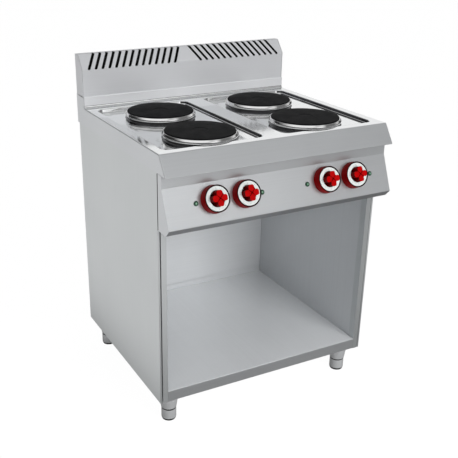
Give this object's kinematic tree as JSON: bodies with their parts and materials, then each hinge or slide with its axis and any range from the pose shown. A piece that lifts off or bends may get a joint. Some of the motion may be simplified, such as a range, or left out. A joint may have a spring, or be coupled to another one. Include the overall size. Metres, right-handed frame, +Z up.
{
  "type": "electric hotplate cooker",
  "caption": "Free-standing electric catering cooker with round cast iron hotplates on a polished worktop, slanted control panel with rotary knobs, vented rear hood and an open cabinet on legs.",
  "frame": {"origin": "on the floor, under the middle of the bounding box of the whole cooker with its knobs", "axes": "+X to the right seen from the front, +Y to the back, +Z up"},
  "size_m": [0.8, 0.7544, 1.112],
  "materials": {
    "polished_steel": "polished stainless steel, near mirror",
    "satin_steel": "satin stainless steel, fine vertical grain",
    "inner_steel": "plain rolled stainless steel",
    "zinc_steel": "zinc plated steel",
    "cast_iron": "blackened cast iron, fine turned grain",
    "ring_steel": "bright stainless spill ring",
    "knob_red": "glossy red thermoset plastic",
    "dial_white": "white printed scale ring",
    "lamp_green": "pale green lamp lens",
    "lamp_body": "dark green lamp holder",
    "foot_grey": "grey satin metal",
    "black_plastic": "black moulded plastic",
    "ceramic": "unglazed steatite",
    "lead_sleeve": "woven glass fibre sleeve"
  },
  "bodies": {
    "root": {"worktop": "polished_steel", "vent_front": "satin_steel", "vent_left_cheek": "satin_steel", "vent_right_cheek": "satin_steel", "left_side_panel": "satin_steel", "right_side_panel": "satin_steel", "control_panel": "satin_steel", "left_front_post": "satin_steel", "right_front_post": "satin_steel", "front_bottom_rail": "satin_steel", "vent_back": "inner_steel", "left_inner_liner": "inner_steel", "right_inner_liner": "inner_steel", "back_panel": "inner_steel", "cabinet_floor": "inner_steel", "front_top_rail": "inner_steel", "rear_top_rail": "inner_steel", "compartment_ceiling": "inner_steel", "base_bars": "inner_steel", "plate_clamp_bars": "zinc_steel", "plate_clamp_nuts": "zinc_steel", "plate_studs": "zinc_steel", "back_screws": "zinc_steel", "plate_connectors": "ceramic", "supply_terminal_block": "ceramic", "rotary_switches": "black_plastic", "cable_gland": "black_plastic", "knob_bezels": "knob_red", "pilot_lamp_bodies": "lamp_body", "pilot_lamp_lenses": "lamp_green", "leg_cups": "foot_grey", "heater_leads": "lead_sleeve", "hotplate_1": "cast_iron", "spill_ring_1": "ring_steel", "hotplate_2": "cast_iron", "spill_ring_2": "ring_steel", "hotplate_3": "cast_iron", "spill_ring_3": "ring_steel", "hotplate_4": "cast_iron", "spill_ring_4": "ring_steel"},
    "control_1": {"knob_1": "knob_red", "dial_ring_1": "dial_white", "switch_shaft_1": "zinc_steel"},
    "foot_1": {"foot_sleeve_1": "foot_grey", "foot_pad_1": "black_plastic"},
    "control_2": {"knob_2": "knob_red", "dial_ring_2": "dial_white", "switch_shaft_2": "zinc_steel"},
    "foot_2": {"foot_sleeve_2": "foot_grey", "foot_pad_2": "black_plastic"},
    "control_3": {"knob_3": "knob_red", "dial_ring_3": "dial_white", "switch_shaft_3": "zinc_steel"},
    "foot_3": {"foot_sleeve_3": "foot_grey", "foot_pad_3": "black_plastic"},
    "control_4": {"knob_4": "knob_red", "dial_ring_4": "dial_white", "switch_shaft_4": "zinc_steel"},
    "foot_4": {"foot_sleeve_4": "foot_grey", "foot_pad_4": "black_plastic"}
  },
  "joints": [
    {"name": "control_1_turn", "type": "hinge", "parent": "root", "child": "control_1", "pos_m": [-0.2398, -0.3284, 0.78949], "axis": [0, 0.9239, -0.3826], "range_deg": [0, 270]},
    {"name": "control_2_turn", "type": "hinge", "parent": "root", "child": "control_2", "pos_m": [-0.1348, -0.3284, 0.78949], "axis": [0, 0.9239, -0.3826], "range_deg": [0, 270]},
    {"name": "control_3_turn", "type": "hinge", "parent": "root", "child": "control_3", "pos_m": [0.1541, -0.3284, 0.78949], "axis": [0, 0.9239, -0.3826], "range_deg": [0, 270]},
    {"name": "control_4_turn", "type": "hinge", "parent": "root", "child": "control_4", "pos_m": [0.2591, -0.3284, 0.78949], "axis": [0, 0.9239, -0.3826], "range_deg": [0, 270]},
    {"name": "foot_1_height", "type": "slide", "parent": "root", "child": "foot_1", "axis": [0, 0, 1], "range_m": [-0.05, 0]},
    {"name": "foot_2_height", "type": "slide", "parent": "root", "child": "foot_2", "axis": [0, 0, 1], "range_m": [-0.05, 0]},
    {"name": "foot_3_height", "type": "slide", "parent": "root", "child": "foot_3", "axis": [0, 0, 1], "range_m": [-0.05, 0]},
    {"name": "foot_4_height", "type": "slide", "parent": "root", "child": "foot_4", "axis": [0, 0, 1], "range_m": [-0.05, 0]}
  ]
}
